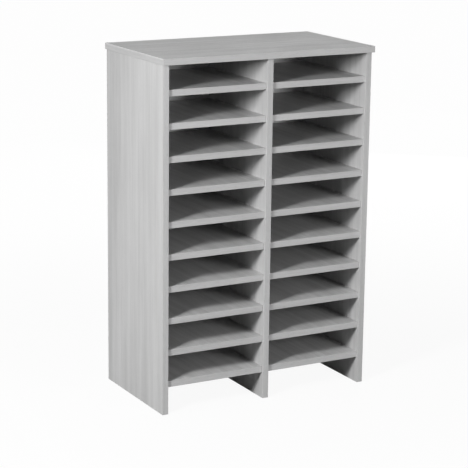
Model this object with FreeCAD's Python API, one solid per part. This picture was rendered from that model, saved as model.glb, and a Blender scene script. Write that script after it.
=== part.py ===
import FreeCAD, Part
import math
import os
from FreeCAD import Vector

os.makedirs("parts", exist_ok=True)

# Pigeonhole unit of faced boards: two columns of fixed shelves between three uprights, under one top board.
# Millimetres, +Z up, the open front faces -Y, the origin lies on the floor at the middle of the outer box.

# Boards and their edging strips
board = 19.0                 # thickness of every upright, every shelf and the top board
edging = 2.0                 # thickness of the strips glued to the edges that can be seen
edging_arris = 0.8           # rounding along the outer corners of a strip, enough to take the sharpness off
arris_limit_share = 0.9      # most of a strip's thickness that the rounding may take

# Carcass
unit_height = 1055.0         # from the floor to the upper face of the top board
bay_width = 320.0            # clear width between two uprights
carcass_depth = 380.0        # uprights from front to back, over their edgings
row_count = 10               # shelves in each column
toe_height = 81.0            # open height under the lowest shelf
top_row_loss = 5.0           # the row under the top board is lower than the others by this much
shelf_setback = 7.0          # fronts of the shelves behind the fronts of the uprights

# Top board beyond the carcass
top_overhang_side = 4.0
top_overhang_front = 11.0
top_overhang_back = 2.0

# Back panel in its grooves
panel = 4.0                  # thickness of the panel
panel_inset = 12.0           # from the backs of the sides to the back of the panel
panel_in_groove = 6.0        # how far the panel reaches into each side and into the top board
groove_play = 0.1            # room on each face of the panel
groove_end_room = 0.5        # room between the panel's edge and the groove's floor

# Dowels
dowel_diameter = 8.0
dowel_cover = 6.0            # board left beyond a blind hole in its face
dowel_in_edge = 18.0         # reach into the end of a shelf or of an upright
dowel_setback = 37.0         # from a board's front or back edge to the nearest dowel
dowel_play = 0.1             # room around a dowel
dowel_end_room = 1.0         # room for glue beyond each end
shelf_dowel_count = 2        # at each end of a shelf
top_dowel_count = 3          # on each upright

# Screws that hold the back panel to the shelves
rows_per_screw_count = 3     # every third shelf is screwed, from the highest down
screw_shank = 3.5            # diameter of the shank
screw_head = 7.0             # diameter of the head
screw_head_height = 2.4
screw_length = 16.0          # under the head
screw_play = 0.1             # room around the shank
screw_end_room = 1.0         # room beyond the point

# Pins, screws and their holes are many, so each is drawn with this many flats
rod_flats = 10

# A cut runs this far past the face that it opens
overrun = 1.0

# Places that follow from these sizes
carcass_width = 2 * bay_width + 3 * board
upright_height = unit_height - board
row_pitch = (upright_height - toe_height + top_row_loss) / row_count
overall_depth = top_overhang_front + carcass_depth + top_overhang_back
top_width = carcass_width + 2 * top_overhang_side
top_front = -overall_depth / 2
top_back = overall_depth / 2
upright_front = top_front + top_overhang_front
upright_back = upright_front + carcass_depth
upright_step = bay_width + board
panel_back = upright_back - panel_inset
panel_front = panel_back - panel
panel_half_width = carcass_width / 2 - board + panel_in_groove
shelf_front = upright_front + shelf_setback
dowel_in_face = board - dowel_cover - dowel_end_room
arris = min(edging_arris, edging * arris_limit_share, board * arris_limit_share / 2)

across = Vector(1, 0, 0)
inwards = Vector(0, 1, 0)
up = Vector(0, 0, 1)
rows = range(1, row_count + 1)
screw_rows = rows[::rows_per_screw_count]


def save(name, shape):
    """Write one named piece."""
    shape.exportStep("parts/" + name + ".step")


def block(low, high):
    """A squared piece between two opposite corners."""
    size = high - low
    return Part.makeBox(size.x, size.y, size.z, low)


def rod(start, axis, length, diameter, slack):
    """A pin or its hole along an axis, made longer at both ends by slack."""
    spoke = (inwards if axis != inwards else up) * (diameter / 2)
    turns = [FreeCAD.Rotation(axis, 360 * flat / rod_flats) for flat in range(rod_flats + 1)]
    outline = Part.makePolygon([start - axis * slack + turn.multVec(spoke) for turn in turns])
    return Part.Face(Part.Wire(outline)).extrude(axis * (length + 2 * slack))


def spread(first, last, count):
    """Evenly spaced places from first to last."""
    step = (last - first) / max(count - 1, 1)
    return [first + step * place for place in range(count)]


def row_bottom(row):
    """Height of the underside of the shelf in a row, counted from the top."""
    return toe_height + (row_count - row) * row_pitch


# Edging strips

def edging_strip(corner, along, face, outwards):
    """A strip on the edge of a board: flat where it is glued, rounded at its two outer corners.

    corner is where the glued face starts, along is the strip's whole length, face points across the
    board's thickness and outwards the way that the edge looks.
    """
    rise = arris * (1 - math.sqrt(0.5))
    flank = edging - arris

    def at(over, out):
        return corner + face * over + outwards * out

    outline = Part.Wire([
        Part.makeLine(at(0, 0), at(0, flank)),
        Part.Arc(at(0, flank), at(rise, edging - rise), at(arris, edging)).toShape(),
        Part.makeLine(at(arris, edging), at(board - arris, edging)),
        Part.Arc(at(board - arris, edging), at(board - rise, edging - rise), at(board, flank)).toShape(),
        Part.makeLine(at(board, flank), at(board, 0)),
        Part.makeLine(at(board, 0), at(0, 0)),
    ])
    return Part.Face(outline).extrude(along)


# Dowels and the holes that they lie in

pin = (dowel_diameter, 0)
hole = (dowel_diameter + 2 * dowel_play, dowel_end_room)
shelf_dowel_places = spread(shelf_front + dowel_setback, panel_front - dowel_setback, shelf_dowel_count)
top_dowel_places = spread(upright_front + dowel_setback, panel_front - dowel_setback, top_dowel_count)
outer_length = dowel_in_face + dowel_in_edge
through_length = board + 2 * dowel_in_edge
shelf_dowel_starts = {
    "left": (-carcass_width / 2 + board - dowel_in_face, outer_length),
    "through_divider": (-through_length / 2, through_length),
    "right": (carcass_width / 2 - board - dowel_in_edge, outer_length),
}


def shelf_dowels(place, row, diameter, slack):
    """The dowels, or their holes, at one end of the shelves in a row."""
    start, length = shelf_dowel_starts[place]
    height = row_bottom(row) + board / 2
    starts = [Vector(start, depth, height) for depth in shelf_dowel_places]
    return [rod(each, across, length, diameter, slack) for each in starts]


def all_shelf_dowels(place, diameter, slack):
    """The dowels, or their holes, along the whole height of an upright."""
    return [pin_or_hole for row in rows for pin_or_hole in shelf_dowels(place, row, diameter, slack)]


def top_dowels(middle, diameter, slack):
    """The dowels, or their holes, between an upright and the top board."""
    starts = [Vector(middle, depth, upright_height - dowel_in_edge) for depth in top_dowel_places]
    return [rod(each, up, outer_length, diameter, slack) for each in starts]


def all_top_dowels(diameter, slack):
    """The dowels, or their holes, on all three uprights."""
    middles = (-upright_step, 0, upright_step)
    return [pin_or_hole for middle in middles for pin_or_hole in top_dowels(middle, diameter, slack)]


# Screws of the back panel

def screw_seat(side, row):
    """Where a head lies on the panel, behind the middle of the shelf in a column and row."""
    return Vector(side * upright_step / 2, panel_back, row_bottom(row) + board / 2)


def screw_hole(seat):
    """The hole for a shank, from behind the panel into the shelf."""
    start = seat - inwards * (screw_length + screw_end_room)
    length = screw_length + screw_end_room + overrun
    return rod(start, inwards, length, screw_shank + 2 * screw_play, 0)


def panel_screw(seat):
    """A screw whose head lies on the panel and whose shank points to the front."""
    shank = rod(seat - inwards * screw_length, inwards, screw_length, screw_shank, 0)
    return shank.fuse(rod(seat, inwards, screw_head_height, screw_head, 0))


# Top board: the edged slab is rounded as a whole and then divided into its core and its four strips

def top_pieces():
    """The top board's core and edging strips by name."""
    low = Vector(-top_width / 2, top_front, upright_height)
    high = Vector(top_width / 2, top_back, unit_height)
    slab = block(low, high)
    level_edges = [edge for edge in slab.Edges if edge.BoundBox.ZLength < arris]
    slab = slab.makeFillet(arris, level_edges)
    left = low.x + edging
    right = high.x - edging
    front = low.y + edging
    back = high.y - edging
    pieces = {
        "top_board": block(Vector(left, front, low.z), Vector(right, back, high.z)),
        "top_edging_front": block(low, Vector(high.x, front, high.z)),
        "top_edging_back": block(Vector(low.x, back, low.z), high),
        "top_edging_left": block(Vector(low.x, front, low.z), Vector(left, back, high.z)),
        "top_edging_right": block(Vector(right, front, low.z), Vector(high.x, back, high.z)),
    }
    return {name: slab.common(piece) for name, piece in pieces.items()}


def top_cuts():
    """The groove and the dowel holes in the underside of the top board."""
    half = panel_half_width + groove_end_room
    groove = block(
        Vector(-half, panel_front - groove_play, upright_height - overrun),
        Vector(half, panel_back + groove_play, upright_height + panel_in_groove + groove_end_room),
    )
    return [groove] + all_top_dowels(*hole)


# Uprights

def upright_core(middle, back):
    """A standing board without its edgings."""
    low = Vector(middle - board / 2, upright_front + edging, 0)
    return block(low, Vector(middle + board / 2, back, upright_height))


def upright_edging(middle, glued, outwards):
    """The strip on the front or back edge of a standing board."""
    return edging_strip(Vector(middle - board / 2, glued, 0), up * upright_height, across, outwards)


def side_groove(side):
    """The groove for the back panel in the inner face of a side."""
    reach = [side * (carcass_width / 2 - board - overrun), side * (panel_half_width + groove_end_room)]
    low = Vector(min(reach), panel_front - groove_play, -overrun)
    return block(low, Vector(max(reach), panel_back + groove_play, upright_height + overrun))


# Build and write every piece

pieces = top_pieces()
pieces["top_board"] = pieces["top_board"].cut(top_cuts())

for name, side in (("left", -1), ("right", 1)):
    middle = side * upright_step
    cuts = all_shelf_dowels(name, *hole) + top_dowels(middle, *hole) + [side_groove(side)]
    pieces[name + "_side"] = upright_core(middle, upright_back - edging).cut(cuts)
    pieces[name + "_side_edging_front"] = upright_edging(middle, upright_front + edging, -inwards)
    pieces[name + "_side_edging_back"] = upright_edging(middle, upright_back - edging, inwards)

divider_cuts = all_shelf_dowels("through_divider", *hole) + top_dowels(0, *hole)
pieces["centre_divider"] = upright_core(0, panel_front).cut(divider_cuts)
pieces["centre_divider_edging_front"] = upright_edging(0, upright_front + edging, -inwards)

for name, side in (("left", -1), ("right", 1)):
    shelf_left = side * upright_step / 2 - bay_width / 2
    for row in rows:
        low = Vector(shelf_left, shelf_front + edging, row_bottom(row))
        shelf = block(low, Vector(shelf_left + bay_width, panel_front, row_bottom(row) + board))
        cuts = shelf_dowels(name, row, *hole) + shelf_dowels("through_divider", row, *hole)
        if row in screw_rows:
            cuts.append(screw_hole(screw_seat(side, row)))
        node = "shelf_%s_row_%02d" % (name, row)
        pieces[node] = shelf.cut(cuts)
        pieces[node + "_edging"] = edging_strip(low, across * bay_width, up, -inwards)

seats = [screw_seat(side, row) for row in screw_rows for side in (-1, 1)]
back_panel = block(
    Vector(-panel_half_width, panel_front, toe_height),
    Vector(panel_half_width, panel_back, upright_height + panel_in_groove),
)
pieces["back_panel"] = back_panel.cut([screw_hole(seat) for seat in seats])
pieces["back_panel_screws"] = Part.Compound([panel_screw(seat) for seat in seats])

for place in shelf_dowel_starts:
    pieces["shelf_dowels_" + place] = Part.Compound(all_shelf_dowels(place, *pin))
pieces["top_dowels"] = Part.Compound(all_top_dowels(*pin))

for name, shape in pieces.items():
    save(name, shape)

outer_box = Part.Compound(list(pieces.values())).BoundBox
print(len(pieces), "pieces,", outer_box.XLength, "x", outer_box.YLength, "x", outer_box.ZLength, "mm")
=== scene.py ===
# %% [markdown]
# # A pigeonhole unit, from its solids to a finished picture
# The real object is a floor-standing paper sorter: three uprights, a top, twenty shelves and a thin back
# panel, all cut from grey wood-grain board with strips of the same decor round the edges. Its solids are
# already made to size, so they are loaded here as a fixed frame that is never moved or reshaped. One could
# model the boards again in Blender, but then the two models would drift apart. What is left for this lesson
# is the finish of every board, the small screws in the back, and a plain studio to look at it in.

# %% Load the solids
import math

import bmesh
import bpy
from mathutils import Matrix, Vector


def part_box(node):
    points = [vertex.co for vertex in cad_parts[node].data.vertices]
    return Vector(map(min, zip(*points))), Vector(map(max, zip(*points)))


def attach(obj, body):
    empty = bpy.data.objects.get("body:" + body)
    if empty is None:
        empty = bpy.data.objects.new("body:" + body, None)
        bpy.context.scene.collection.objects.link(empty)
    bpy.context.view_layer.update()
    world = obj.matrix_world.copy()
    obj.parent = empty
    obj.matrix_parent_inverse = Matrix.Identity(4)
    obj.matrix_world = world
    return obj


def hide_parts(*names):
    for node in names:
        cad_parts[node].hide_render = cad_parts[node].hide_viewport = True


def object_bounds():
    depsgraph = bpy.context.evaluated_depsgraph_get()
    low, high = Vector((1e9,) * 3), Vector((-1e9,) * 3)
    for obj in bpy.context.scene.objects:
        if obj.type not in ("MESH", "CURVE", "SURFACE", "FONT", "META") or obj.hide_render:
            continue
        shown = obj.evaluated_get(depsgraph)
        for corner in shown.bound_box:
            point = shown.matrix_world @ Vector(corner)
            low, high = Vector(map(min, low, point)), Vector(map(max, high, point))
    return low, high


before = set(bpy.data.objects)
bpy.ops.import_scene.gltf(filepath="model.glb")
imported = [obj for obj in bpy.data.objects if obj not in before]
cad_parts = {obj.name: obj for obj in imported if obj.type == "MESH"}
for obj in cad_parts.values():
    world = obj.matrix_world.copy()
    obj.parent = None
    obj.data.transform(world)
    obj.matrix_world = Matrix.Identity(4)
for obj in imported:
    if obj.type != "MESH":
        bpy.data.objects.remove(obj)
cad_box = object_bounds()
print("solids:", len(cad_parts), "size in metres:", [round(side, 4) for side in cad_box[1] - cad_box[0]])

# %% [markdown]
# ## Where the photographer stood
# The unit was photographed from the front, a little to the left and a little above its top, with a long lens
# from about five metres away. A long lens keeps the uprights nearly parallel. The camera could be aimed by
# eye, but three plain values say more: where it stands, how it is turned, and how long the lens is for a
# 36 mm wide sensor.

# %% The camera
camera_place = (-2.48827, -4.48731, 1.72013)
camera_turn_degrees = (76.3237, -0.6726, -28.7173)
camera_lens = 132.437
sensor_width = 36.0

camera = bpy.data.objects.new("camera", bpy.data.cameras.new("camera"))
camera.location = camera_place
camera.rotation_euler = [math.radians(angle) for angle in camera_turn_degrees]
camera.data.lens = camera_lens
camera.data.sensor_width = sensor_width
bpy.context.scene.collection.objects.link(camera)
bpy.context.scene.camera = camera
print("camera stands", round(Vector(camera_place).length, 2), "m from the foot of the unit")

# %% [markdown]
# ## The printed grain
# The boards are faced with a wood-grain decor. From across a room it shows as soft streaks a finger wide and
# an arm long, which gather into broader bands and faint clouds. Close up there are fibres a few millimetres
# wide and short dark pores. A photograph of wood could be wrapped on, but it would repeat and would need
# unwrapping. Here five noises that are stretched along the grain do it in three dimensions, so every board
# gets a print of its own. They are put in one node group, because every board and edging strip uses them
# with its own values.

# %% Helpers for node groups
def add_node(tree, kind, **settings):
    """Adds a node of that kind and sets its own settings, such as the operation of a Math node."""
    node = tree.nodes.new(kind)
    for name, value in settings.items():
        setattr(node, name, value)
    return node


def feed(tree, socket, value):
    """Sets a socket to a number, or links the output of another node to it."""
    if isinstance(value, (int, float)):
        socket.default_value = value
    else:
        tree.links.new(value, socket)


def math_node(tree, operation, *values):
    """Adds a Math node. Each value is a number or the output of another node."""
    node = add_node(tree, "ShaderNodeMath", operation=operation)
    for socket, value in zip(node.inputs, values):
        feed(tree, socket, value)
    return node.outputs["Value"]


def map_range(tree, value, limits, ends=(0.0, 1.0), interpolation="LINEAR"):
    """Adds a Map Range node, which carries what lies between two limits over to two ends."""
    node = add_node(tree, "ShaderNodeMapRange", interpolation_type=interpolation)
    socket_names = ("Value", "From Min", "From Max", "To Min", "To Max")
    for socket_name, setting in zip(socket_names, (value, *limits, *ends)):
        feed(tree, node.inputs[socket_name], setting)
    return node.outputs["Result"]


def stretched_noise(tree, vector, scale, detail, roughness):
    """Adds a noise on a vector that is first scaled by three numbers, one along each axis."""
    stretch = add_node(tree, "ShaderNodeVectorMath", operation="MULTIPLY")
    stretch.inputs[1].default_value = scale
    tree.links.new(vector, stretch.inputs[0])
    noise = add_node(tree, "ShaderNodeTexNoise")
    noise.inputs["Scale"].default_value = 1.0
    noise.inputs["Detail"].default_value = detail
    noise.inputs["Roughness"].default_value = roughness
    tree.links.new(stretch.outputs["Vector"], noise.inputs["Vector"])
    return noise


def new_group(name, inputs, outputs):
    """Makes an empty shader group. Inputs and outputs are pairs of a name and a kind of socket."""
    group = bpy.data.node_groups.new(name, "ShaderNodeTree")
    for socket_name, kind in inputs:
        group.interface.new_socket(socket_name, in_out="INPUT", socket_type=kind)
    for socket_name, kind in outputs:
        group.interface.new_socket(socket_name, in_out="OUTPUT", socket_type=kind)
    return group, group.nodes.new("NodeGroupInput"), group.nodes.new("NodeGroupOutput")


print("helpers ready: add_node, feed, math_node, map_range, stretched_noise, new_group")

# %% The group of the printed grain, which runs along its own Z axis
number, arrow = "NodeSocketFloat", "NodeSocketVector"
# Each noise has its steps per metre across and along the grain, then its detail and its roughness
wander = ((2.0, 2.0, 1.1), 1.0, 0.5)
grain_noises = {
    "Streaks": ((46.0, 46.0, 1.2), 3.0, 0.6),
    "Bands": ((7.0, 7.0, 0.7), 1.0, 0.5),
    "Clouds": ((12.0, 12.0, 6.0), 2.0, 0.5),
    "Fibres": ((250.0, 250.0, 9.0), 3.0, 0.65),
    "Pores": ((1100.0, 1100.0, 70.0), 0.0, 0.5),
}
noise_middle = 0.5
wander_reach = 0.008

grain, grain_in, grain_out = new_group(
    "straight_grain",
    [("Vector", arrow)] + [(noise_name, number) for noise_name in grain_noises],
    [("Tone", number), ("Relief", number)],
)
wander_noise = stretched_noise(grain, grain_in.outputs["Vector"], *wander)
centred = add_node(grain, "ShaderNodeVectorMath", operation="SUBTRACT")
centred.inputs[1].default_value = (noise_middle, noise_middle, noise_middle)
grain.links.new(wander_noise.outputs["Color"], centred.inputs[0])
sideways = add_node(grain, "ShaderNodeVectorMath", operation="MULTIPLY_ADD")
sideways.inputs[1].default_value = (wander_reach, wander_reach, 0.0)
grain.links.new(centred.outputs["Vector"], sideways.inputs[0])
grain.links.new(grain_in.outputs["Vector"], sideways.inputs[2])
noises = {
    noise_name: stretched_noise(grain, sideways.outputs["Vector"], *values).outputs["Fac"]
    for noise_name, values in grain_noises.items()
}
print("grain group has", len(grain.nodes), "nodes so far")

# %% Add the five noises up, each but the pores about its own middle
band_edges, pore_edges = (0.45, 0.55), (0.60, 0.72)
noises["Bands"] = map_range(grain, noises["Bands"], band_edges, interpolation="SMOOTHSTEP")
noises["Pores"] = map_range(grain, noises["Pores"], pore_edges)

tone = noise_middle
for noise_name in ("Streaks", "Bands", "Clouds", "Fibres"):
    about_middle = math_node(grain, "SUBTRACT", noises[noise_name], noise_middle)
    tone = math_node(grain, "MULTIPLY_ADD", about_middle, grain_in.outputs[noise_name], tone)
pore_depth = math_node(grain, "MULTIPLY", noises["Pores"], grain_in.outputs["Pores"])
tone = math_node(grain, "SUBTRACT", tone, pore_depth)
relief = math_node(grain, "SUBTRACT", noises["Fibres"], noises["Pores"])
grain.links.new(tone, grain_out.inputs["Tone"])
grain.links.new(relief, grain_out.inputs["Relief"])
print("grain group puts out", [socket.name for socket in grain_out.inputs if socket.name])

# %% [markdown]
# ## The satin of the facing
# Faced board is neither glossy nor dull: it is pressed against a finely matted plate, which leaves a stipple
# less than a millimetre across, and hands and cloths leave slightly smoother patches. A single roughness
# would look like plastic film. A second group gives a roughness that drifts over the surface and a height
# for the stipple.

# %% The group of the satin facing
patch_noise = ((7.0, 7.0, 7.0), 3.0, 0.6)
patch_edges = (0.3, 0.7)
stipple_noise = ((1500.0, 1500.0, 1500.0), 1.0, 0.5)

satin, satin_in, satin_out = new_group(
    "satin_facing",
    [("Vector", arrow), ("Smoothest", number), ("Roughest", number)],
    [("Roughness", number), ("Stipple", number)],
)
patches = stretched_noise(satin, satin_in.outputs["Vector"], *patch_noise).outputs["Fac"]
satin_ends = (satin_in.outputs["Smoothest"], satin_in.outputs["Roughest"])
drifting_roughness = map_range(satin, patches, patch_edges, satin_ends)
stipple = stretched_noise(satin, satin_in.outputs["Vector"], *stipple_noise).outputs["Fac"]
satin.links.new(drifting_roughness, satin_out.inputs["Roughness"])
satin.links.new(stipple, satin_out.inputs["Stipple"])
print("satin group has", len(satin.nodes), "nodes")

# %% [markdown]
# ## One recipe for every board
# All boards share the recipe: the grain's tone chooses a colour between a dark and a light one, the satin
# group gives the roughness, and both heights together feed one Bump node. Only the direction of the grain
# differs, so a Mapping node turns the piece's own coordinates until the grain runs the right way: up the
# uprights, along the top, and from front to back on the shelves. Its location picks which part of the
# endless print a family of boards is cut from.

# %% The recipe
quarter_turn = math.pi / 2
turns = {
    "up": (0.0, 0.0, 0.0),
    "across": (0.0, quarter_turn, 0.0),
    "back": (quarter_turn, 0.0, 0.0),
}
relief_strength, relief_depth = 0.25, 0.0002
stipple_share = 0.5
facing_shine = 0.2


def faced_board(name, grain_runs, print_place, colours, contrast, satin_range):
    """A wood-grain finish. Contrast gives the strengths of streaks, bands, clouds, fibres and pores."""
    material = bpy.data.materials.new(name)
    material.use_nodes = True
    tree = material.node_tree
    shader = tree.nodes["Principled BSDF"]
    coordinates = add_node(tree, "ShaderNodeTexCoord")
    mapping = add_node(tree, "ShaderNodeMapping")
    mapping.inputs["Rotation"].default_value = turns[grain_runs]
    mapping.inputs["Location"].default_value = print_place
    tree.links.new(coordinates.outputs["Object"], mapping.inputs["Vector"])

    print_node = add_node(tree, "ShaderNodeGroup", node_tree=grain)
    for socket_name, strength in zip(grain_noises, contrast):
        print_node.inputs[socket_name].default_value = strength
    tree.links.new(mapping.outputs["Vector"], print_node.inputs["Vector"])
    ramp = add_node(tree, "ShaderNodeValToRGB")
    for element, colour in zip(ramp.color_ramp.elements, colours):
        element.color = colour
    tree.links.new(print_node.outputs["Tone"], ramp.inputs["Fac"])
    tree.links.new(ramp.outputs["Color"], shader.inputs["Base Color"])

    facing = add_node(tree, "ShaderNodeGroup", node_tree=satin)
    facing.inputs["Smoothest"].default_value = satin_range[0]
    facing.inputs["Roughest"].default_value = satin_range[1]
    tree.links.new(coordinates.outputs["Object"], facing.inputs["Vector"])
    tree.links.new(facing.outputs["Roughness"], shader.inputs["Roughness"])
    shader.inputs["Specular IOR Level"].default_value = facing_shine

    bump = add_node(tree, "ShaderNodeBump")
    bump.inputs["Strength"].default_value = relief_strength
    bump.inputs["Distance"].default_value = relief_depth
    stipple_height = math_node(tree, "MULTIPLY", facing.outputs["Stipple"], stipple_share)
    height = math_node(tree, "ADD", stipple_height, print_node.outputs["Relief"])
    tree.links.new(height, bump.inputs["Height"])
    tree.links.new(bump.outputs["Normal"], shader.inputs["Normal"])
    return material


print("grain directions:", sorted(turns))

# %% [markdown]
# ## Boards and edging strips
# Uprights, top and shelves are the same facing, and the strips round their edges are its plastic twin, a
# shade darker and a little smoother, with the grain along each strip. The back panel is made paler, because
# the bits of it that show over the upper shelves came out too dark with the greys of the boards. One material
# for everything would be quicker, but the grain would then run the wrong way on most pieces.

# %% The finishes of the boards
def grey(level):
    """An opaque grey."""
    return (level, level, level, 1.0)


board_greys = (grey(0.40), grey(0.68))
strip_greys = (grey(0.39), grey(0.64))
panel_greys = (grey(0.70), grey(0.93))
board_contrast = (0.75, 0.16, 0.25, 0.35, 0.10)
top_contrast = (0.9, 0.06, 0.08, 1.2, 0.2)
shelf_contrast = (1.0, 0.10, 0.20, 0.50, 0.15)
strip_contrast = (0.5, 0.08, 0.15, 0.45, 0.18)
board_satin, strip_satin, panel_satin = (0.48, 0.60), (0.42, 0.52), (0.50, 0.62)
strip_print = (11.0, 5.0, 0.0)

# Each finish: the way of its grain, its place in the print, its colours, contrast and satin
recipes = {
    "upright_facing": ("up", (-17.0, 3.9, -3.6), board_greys, board_contrast, board_satin),
    "top_facing": ("across", (3.0, 1.0, 0.0), board_greys, top_contrast, board_satin),
    "shelf_facing": ("back", (7.0, 2.0, 0.0), board_greys, shelf_contrast, board_satin),
    "panel_facing": ("up", (17.0, 0.0, 0.0), panel_greys, board_contrast, panel_satin),
}
for direction in turns:
    recipes["strip_" + direction] = (direction, strip_print, strip_greys, strip_contrast, strip_satin)
finishes = {name: faced_board(name, *recipe) for name, recipe in recipes.items()}
print("finishes:", sorted(finishes))

# %% [markdown]
# ## A painted highlight along the ends of the top
# A thin pale line runs along the upper corner of the strip at the left end of the top: light that the
# rounding catches. It may be light that the rounding catches or a corner rubbed pale: the photograph is too
# small to tell. The solid's own rounding renders duller than that, so the highlight is painted into the
# colour. It could be a thin piece of its own, but a height mask on the tone is enough: nought on the strip,
# and rising over the last few millimetres under the top's upper face. The right end, which doesn't show,
# shares the finish and the painted highlight.

# %% The painted highlight on the strips at the ends of the top
top_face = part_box("top_edging_left")[1].z
highlight_height, highlight_tone = 0.005, 0.5
line_tree = finishes["strip_back"].node_tree
line_place = next(node for node in line_tree.nodes if node.type == "TEX_COORD").outputs["Object"]
line_ramp = next(node for node in line_tree.nodes if node.type == "VALTORGB")
line_split = add_node(line_tree, "ShaderNodeSeparateXYZ")
line_tree.links.new(line_place, line_split.inputs["Vector"])
highlight_limits = (top_face - highlight_height, top_face)
highlight_mask = map_range(line_tree, line_split.outputs["Z"], highlight_limits, interpolation="SMOOTHSTEP")
plain_tone = line_ramp.inputs["Fac"].links[0].from_socket
# Painted highlight: the tone is raised along the top's upper corner, where the rounding catches the light
tone_with_highlight = math_node(line_tree, "MULTIPLY_ADD", highlight_mask, highlight_tone, plain_tone)
line_tree.links.new(tone_with_highlight, line_ramp.inputs["Fac"])
print("pale line", round(1000 * highlight_height, 1), "mm high under", round(top_face, 3), "m")

# %% [markdown]
# ## Beech for the hidden pins
# The boards are held together by beech dowels that nobody sees once the unit is glued up. They still get
# their own wood, because someone may pull the model apart: warm, pale, dull, with short flecks along the pin.

# %% The finish of the dowels
beech_colours = ((0.50, 0.34, 0.21, 1.0), (0.72, 0.55, 0.38, 1.0))
beech_contrast = (0.5, 0.1, 0.2, 0.8, 0.5)
beech_satin = (0.65, 0.8)
beech_print = (23.0, 9.0, 0.0)
for direction in ("across", "up"):
    name = "beech_" + direction
    finishes[name] = faced_board(name, direction, beech_print, beech_colours, beech_contrast, beech_satin)
print("beech finishes ready")

# %% [markdown]
# ## Every solid gets its finish
# The solids' names say which board, strip or pin each one is, so the materials are given out by name and
# none has to be picked by hand. Only the material slot changes: the mesh stays as the workshop drawing has
# it.

# %% Give the finishes out by the solids' names
def finish_of(node_name):
    """The name of the finish that a solid of this name gets."""
    if node_name.endswith("edging") or "_edging_" in node_name:
        if node_name in ("top_edging_left", "top_edging_right"):
            return "strip_back"
        return "strip_across" if node_name.startswith(("top", "shelf")) else "strip_up"
    if node_name.startswith("shelf_dowels"):
        return "beech_across"
    fixed = {"top_board": "top_facing", "top_dowels": "beech_up", "back_panel": "panel_facing"}
    if node_name in fixed:
        return fixed[node_name]
    return "shelf_facing" if node_name.startswith("shelf") else "upright_facing"


given = {}
for node_name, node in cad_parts.items():
    if node_name != "back_panel_screws":
        finish_name = finish_of(node_name)
        node.material_slots[0].material = finishes[finish_name]
        given[finish_name] = given.get(finish_name, 0) + 1
print("solids per finish:", given)

# %% [markdown]
# ## The screws in the back
# Eight short screws hold the back panel to the shelves. In the workshop drawing each is two plain rods. The
# real one has a low domed head with a cross-shaped recess for the driver, which shows from behind. It could
# be turned as a profile and the cross cut by a boolean, but booleans leave untidy faces. Here the cross is
# drawn first, the ring of the head is bridged to it, and the ring is then pulled outwards, down and inwards
# along the screw's outline.

# %% Sizes of one screw, in metres, along its own Z axis
screw_sides = 24
cross_arm, cross_half_width = 0.0017, 0.00042
cross_depth, cross_taper = 0.0013, 0.6
head_height = 0.0024
crown_radius = 0.0023
# Radius and height of each step, from the edge of the crown to the point
screw_outline = (
    (0.0030, 0.0021),
    (0.0034, 0.0015),
    (0.0035, 0.0009),
    (0.0035, 0.0000),
    (0.00175, 0.0000),
    (0.00170, -0.0120),
    (0.0003, -0.0160),
)


def pull_ring(mesh, edges, radius, height, old_radius, old_height):
    """Extrudes a ring of edges to a new radius and height and returns the new ring."""
    grown = bmesh.ops.extrude_edge_only(mesh, edges=edges)["geom"]
    vertices = [item for item in grown if isinstance(item, bmesh.types.BMVert)]
    share = radius / old_radius
    bmesh.ops.scale(mesh, verts=vertices, vec=(share, share, 1.0))
    bmesh.ops.translate(mesh, verts=vertices, vec=(0.0, 0.0, height - old_height))
    grown_edges = [item for item in grown if isinstance(item, bmesh.types.BMEdge)]
    return [edge for edge in grown_edges if all(vertex in vertices for vertex in edge.verts)]


print("screw outline has", len(screw_outline), "steps of", screw_sides, "sides")

# %% Build one screw at the origin
def cross_loop(mesh):
    """Draws the recess's outline on the crown as a closed loop of twelve edges and returns the edges."""
    arm, half = cross_arm, cross_half_width
    corners = []
    for step in range(4):
        turn = Matrix.Rotation(step * quarter_turn, 3, "Z")
        for corner in ((half, half), (arm, half), (arm, -half)):
            corners.append(turn @ Vector((corner[0], corner[1], head_height)))
    order = sorted(corners, key=lambda place: math.atan2(place.y, place.x))
    vertices = [mesh.verts.new(place) for place in order]
    return [mesh.edges.new((vertices[i - 1], vertices[i])) for i in range(len(vertices))]


def build_screw(mesh):
    """Adds one screw to the mesh, its head up and the panel's face at zero, and returns its vertices."""
    before = set(mesh.verts)
    crown = bmesh.ops.create_circle(
        mesh, segments=screw_sides, radius=crown_radius, matrix=Matrix.Translation((0.0, 0.0, head_height))
    )["verts"]
    ring = list({edge for vertex in crown for edge in vertex.link_edges})
    cross = cross_loop(mesh)
    bmesh.ops.bridge_loops(mesh, edges=ring + cross)
    floor_ring = pull_ring(mesh, cross, cross_taper, head_height - cross_depth, 1.0, head_height)
    bmesh.ops.edgeloop_fill(mesh, edges=floor_ring)
    radius, height = crown_radius, head_height
    for next_radius, next_height in screw_outline:
        ring = pull_ring(mesh, ring, next_radius, next_height, radius, height)
        radius, height = next_radius, next_height
    bmesh.ops.edgeloop_fill(mesh, edges=ring)
    return [vertex for vertex in mesh.verts if vertex not in before]


head_radius = max(radius for radius, height in screw_outline)
print("cross of", round(2000 * cross_arm, 1), "mm in a head of", round(2000 * head_radius, 1), "mm")

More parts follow.
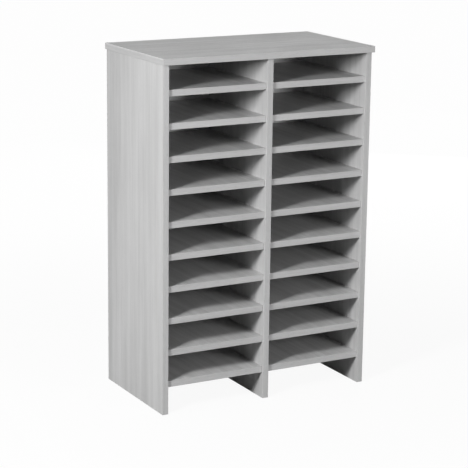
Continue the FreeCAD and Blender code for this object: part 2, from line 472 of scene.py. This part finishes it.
# %% Set the eight screws in the panel, each stopped at another turn
screw_mesh = bmesh.new()
panel_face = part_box("back_panel")[1].y
outwards = Matrix.Rotation(-quarter_turn, 3, "X")
screw_rows = (1, 4, 7, 10)
turn_per_row = 0.7
turn_of_column = {"left": 1.3, "right": 0.2}
for row in screw_rows:
    for column, column_turn in turn_of_column.items():
        low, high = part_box(f"shelf_{column}_row_{row:02d}")
        middle = (low + high) / 2
        vertices = build_screw(screw_mesh)
        turn = Matrix.Rotation(turn_per_row * row + column_turn, 3, "Z")
        bmesh.ops.rotate(screw_mesh, verts=vertices, matrix=outwards @ turn)
        bmesh.ops.translate(screw_mesh, verts=vertices, vec=(middle.x, panel_face, middle.z))
bmesh.ops.recalc_face_normals(screw_mesh, faces=screw_mesh.faces)
screw_data = bpy.data.meshes.new("panel_screws")
screw_mesh.to_mesh(screw_data)
screw_mesh.free()
panel_screws = bpy.data.objects.new("panel_screws", screw_data)
bpy.context.scene.collection.objects.link(panel_screws)
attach(panel_screws, "root")
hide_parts("back_panel_screws")
print("screws:", len(screw_rows) * len(turn_of_column), "with", len(screw_data.polygons), "faces in all")

# %% [markdown]
# ## Zinc on the screws
# The screws are zinc-plated steel: a bright grey metal with a faint bluish cloud. A metal takes its colour
# from what it mirrors, so Metallic is one, set on the shader itself, and only the colour and roughness drift
# a little. The satin group that the boards use serves here too, with a smoother range.

# %% The finish of the screws
zinc_colours = ((0.50, 0.52, 0.55, 1.0), (0.68, 0.69, 0.70, 1.0))
zinc_cloud_noise = ((260.0, 260.0, 260.0), 2.0, 0.5)
zinc_smoothest, zinc_roughest = 0.28, 0.40

zinc = bpy.data.materials.new("zinc_plate")
zinc.use_nodes = True
zinc_tree = zinc.node_tree
zinc_shader = zinc_tree.nodes["Principled BSDF"]
zinc_shader.inputs["Metallic"].default_value = 1.0
zinc_place = add_node(zinc_tree, "ShaderNodeTexCoord").outputs["Object"]
zinc_clouds = stretched_noise(zinc_tree, zinc_place, *zinc_cloud_noise)
zinc_ramp = add_node(zinc_tree, "ShaderNodeValToRGB")
for element, colour in zip(zinc_ramp.color_ramp.elements, zinc_colours):
    element.color = colour
zinc_tree.links.new(zinc_clouds.outputs["Fac"], zinc_ramp.inputs["Fac"])
zinc_tree.links.new(zinc_ramp.outputs["Color"], zinc_shader.inputs["Base Color"])
zinc_satin = add_node(zinc_tree, "ShaderNodeGroup", node_tree=satin)
zinc_satin.inputs["Smoothest"].default_value = zinc_smoothest
zinc_satin.inputs["Roughest"].default_value = zinc_roughest
zinc_tree.links.new(zinc_place, zinc_satin.inputs["Vector"])
zinc_tree.links.new(zinc_satin.outputs["Roughness"], zinc_shader.inputs["Roughness"])
panel_screws.data.materials.append(zinc)
print("zinc on", panel_screws.name)

# %% [markdown]
# ## A white studio
# The photograph is a cut-out on white. The floor is pale and would render light grey under honest light, so
# for rays that come from the camera, or from a mirror or glass, most of it glows plain white. The rest stays
# an ordinary floor and keeps the unit's shadow. Two things keep the glow off the boards. Light that bounces
# from the floor on to them meets a darker grey, and rays that the satin boards mirror don't see white on the
# floor that the unit stands over, where its shadow lies. The world behind it all glows for the same rays.

# %% Masks for the floor and the world
footprint_edge = (0.9, 1.1)


def seen_ray(tree, mirrored_share=1.0):
    """One for rays from the camera, a share for those from a mirror or glass, nought for the rest."""
    path = add_node(tree, "ShaderNodeLightPath")
    mirrored = math_node(tree, "MAXIMUM", path.outputs["Is Glossy Ray"], path.outputs["Is Transmission Ray"])
    mirrored = math_node(tree, "MULTIPLY", mirrored, mirrored_share)
    return math_node(tree, "MAXIMUM", path.outputs["Is Camera Ray"], mirrored)


def beside_footprint(tree, place):
    """Nought on the floor that the unit stands over, where its shadow lies, and one beside it."""
    middle, half = (cad_box[0] + cad_box[1]) / 2, (cad_box[1] - cad_box[0]) / 2
    fitted = add_node(tree, "ShaderNodeMapping")
    fitted.inputs["Scale"].default_value = (1 / half.x, 1 / half.y, 1.0)
    fitted.inputs["Location"].default_value = (-middle.x / half.x, -middle.y / half.y, 0.0)
    tree.links.new(place, fitted.inputs["Vector"])
    split = add_node(tree, "ShaderNodeSeparateXYZ")
    tree.links.new(fitted.outputs["Vector"], split.inputs["Vector"])
    widthways = math_node(tree, "ABSOLUTE", split.outputs["X"])
    depthways = math_node(tree, "ABSOLUTE", split.outputs["Y"])
    furthest = math_node(tree, "MAXIMUM", widthways, depthways)
    return map_range(tree, furthest, footprint_edge, interpolation="SMOOTHSTEP")


print("footprint fades out between", footprint_edge, "of the unit's half width and half depth")

# %% The floor
floor_reach = 40.0
floor_roughness = 0.9
seen_grey, cast_grey = 0.8, 0.3
near_and_far_radius = (0.5, 2.5)
near_and_far_white = (0.93, 0.985)

floor_mesh = bmesh.new()
bmesh.ops.create_grid(floor_mesh, x_segments=1, y_segments=1, size=floor_reach)
floor_data = bpy.data.meshes.new("floor")
floor_mesh.to_mesh(floor_data)
floor_mesh.free()
floor = bpy.data.objects.new("floor", floor_data)
bpy.context.scene.collection.objects.link(floor)

pale = bpy.data.materials.new("pale_floor")
pale.use_nodes = True
pale_tree = pale.node_tree
pale_shader = pale_tree.nodes["Principled BSDF"]
floor_tone = math_node(pale_tree, "MULTIPLY_ADD", seen_ray(pale_tree), seen_grey - cast_grey, cast_grey)
pale_tree.links.new(floor_tone, pale_shader.inputs["Base Color"])
pale_shader.inputs["Roughness"].default_value = floor_roughness
pale_shader.inputs["Specular IOR Level"].default_value = 0.0

floor_place = add_node(pale_tree, "ShaderNodeTexCoord").outputs["Object"]
distance = add_node(pale_tree, "ShaderNodeVectorMath", operation="LENGTH")
pale_tree.links.new(floor_place, distance.inputs[0])
whiteness = map_range(
    pale_tree, distance.outputs["Value"], near_and_far_radius, near_and_far_white, "SMOOTHSTEP"
)
seen_white = seen_ray(pale_tree, beside_footprint(pale_tree, floor_place))
white_share = math_node(pale_tree, "MULTIPLY", seen_white, whiteness)
glow = add_node(pale_tree, "ShaderNodeEmission")
blend = add_node(pale_tree, "ShaderNodeMixShader")
pale_tree.links.new(white_share, blend.inputs["Fac"])
pale_tree.links.new(pale_shader.outputs["BSDF"], blend.inputs[1])
pale_tree.links.new(glow.outputs["Emission"], blend.inputs[2])
pale_tree.links.new(blend.outputs["Shader"], pale_tree.nodes["Material Output"].inputs["Surface"])
floor.data.materials.append(pale)
print("floor of", floor.dimensions.x, "m")

# %% The world
world_light = 0.02
world = bpy.data.worlds.new("studio")
world.use_nodes = True
bpy.context.scene.world = world
world_tree = world.node_tree
dim = world_tree.nodes["Background"]
dim.inputs["Color"].default_value = grey(1.0)
dim.inputs["Strength"].default_value = world_light
white = add_node(world_tree, "ShaderNodeBackground")
white.inputs["Color"].default_value = grey(1.0)
world_blend = add_node(world_tree, "ShaderNodeMixShader")
world_tree.links.new(seen_ray(world_tree), world_blend.inputs["Fac"])
world_tree.links.new(dim.outputs["Background"], world_blend.inputs[1])
world_tree.links.new(white.outputs["Background"], world_blend.inputs[2])
world_tree.links.new(world_blend.outputs["Shader"], world_tree.nodes["World Output"].inputs["Surface"])
print("world lights the boards at", world_light)

# %% [markdown]
# ## The lamps
# The shadows in the pigeonholes tell where the light came from. The left upright's shadow runs slantwise over
# each shelf, and the lit strip along the shelves gets narrower from the top row to the bottom one, so the
# main lamp stands close by, left of the camera and half as high again as the unit. Its light fades only with
# distance and not with the square of it, because the photograph is nearly as bright below as above. Two weak
# lamps from the front right reach into the pigeonholes, a large one from the left and a low card on the floor
# lift the side, one overhead lights the top, and two from behind keep the back from going dark.

# %% Eight soft boxes
def soft_box(name, place, aim, width, height, watts):
    """An area lamp that stands at a place and faces a point."""
    lamp = bpy.data.lights.new(name, "AREA")
    lamp.shape = "RECTANGLE"
    lamp.size = width
    lamp.size_y = height
    lamp.energy = watts
    box = bpy.data.objects.new(name, lamp)
    box.location = place
    box.rotation_euler = (Vector(place) - Vector(aim)).to_track_quat("Z", "Y").to_euler()
    box.visible_camera = False
    bpy.context.scene.collection.objects.link(box)
    return box


unit_middle = (0.0, -0.1, 0.55)
key = soft_box("key_front_left", (-2.13, -1.13, 1.56), unit_middle, 0.42, 0.6, 21.8)
soft_box("fill_near", (0.90, -2.75, 1.08), unit_middle, 0.7, 0.7, 21.0)
soft_box("fill_far", (2.05, -5.73, 0.76), unit_middle, 1.4, 1.4, 44.0)
soft_box("wash_left", (-3.83, -0.1, 3.76), unit_middle, 3.5, 3.5, 33.0)
soft_box("floor_card_left", (-0.8, 0.0, 0.06), unit_middle, 1.2, 0.08, 0.22)
soft_box("wash_back", (3.42, 3.32, 1.84), unit_middle, 3.5, 3.5, 21.0)
soft_box("overhead", (0.0, 0.0, 4.5), unit_middle, 3.0, 3.0, 26.0)
soft_box("back_low", (2.4, 3.0, 0.55), unit_middle, 2.0, 0.9, 70.0)

key.data.use_nodes = True
key_tree = key.data.node_tree
key_fade = add_node(key_tree, "ShaderNodeLightFalloff")
key_fade.inputs["Strength"].default_value = 1.0
key_tree.links.new(key_fade.outputs["Linear"], key_tree.nodes["Emission"].inputs["Strength"])
lamps = [item for item in bpy.context.scene.objects if item.type == "LIGHT"]
print("lamps:", {lamp.name: lamp.data.energy for lamp in lamps})

# %% [markdown]
# ## Colours as they are
# Colours are shown as they are, with the Standard view transform.

# %% Show the colours as they are
bpy.context.scene.view_settings.view_transform = "Standard"
